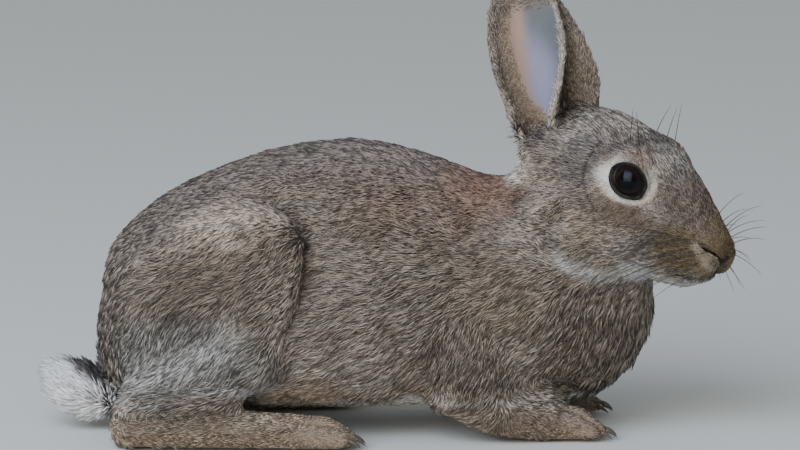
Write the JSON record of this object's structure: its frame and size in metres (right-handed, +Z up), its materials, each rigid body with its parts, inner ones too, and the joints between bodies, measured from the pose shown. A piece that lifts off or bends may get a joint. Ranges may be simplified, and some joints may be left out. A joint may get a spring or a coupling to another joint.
{
  "type": "rabbit",
  "caption": "Still, life-size wild European rabbit crouching on all fours, ears up, head turned a little to its right, for a museum-like display",
  "frame": {"origin": "on the ground, under the middle of the rabbit's footprint", "axes": "+X towards the rabbit's front, +Y towards its left side, +Z up"},
  "size_m": [0.2768, 0.1134, 0.1914],
  "materials": {
    "head_fur": "short grizzled brown fur, cream round the eye and white on the jaw",
    "neck_fur": "soft rust-brown nape fur and grey-brown throat fur",
    "body_fur": "dense agouti fur, grey-brown with black and cream tips",
    "haunch_fur": "agouti fur, browner above and silver-grey below",
    "foot_fur": "short buff fur",
    "ear_skin": "very short brown fur outside, bare pale pinkish-white hollow, dark edge at the tip",
    "tail_fur": "fluffy white fur with a blackish upper side",
    "eye": "wet, near-black brown eye with a clear shine",
    "horn": "dark horn claws and nostrils",
    "whisker": "stiff dark and pale whiskers"
  },
  "bodies": {
    "root": {"head": "head_fur", "neck": "neck_fur", "trunk": "body_fur", "haunch_left": "haunch_fur", "haunch_right": "haunch_fur", "hind_foot_left": "foot_fur", "hind_foot_right": "foot_fur", "foreleg_left": "body_fur", "foreleg_right": "body_fur", "forepaw_left": "foot_fur", "forepaw_right": "foot_fur", "ear_left": "ear_skin", "ear_right": "ear_skin", "tail": "tail_fur", "eye_left": "eye", "eye_right": "eye"}
  },
  "joints": []
}
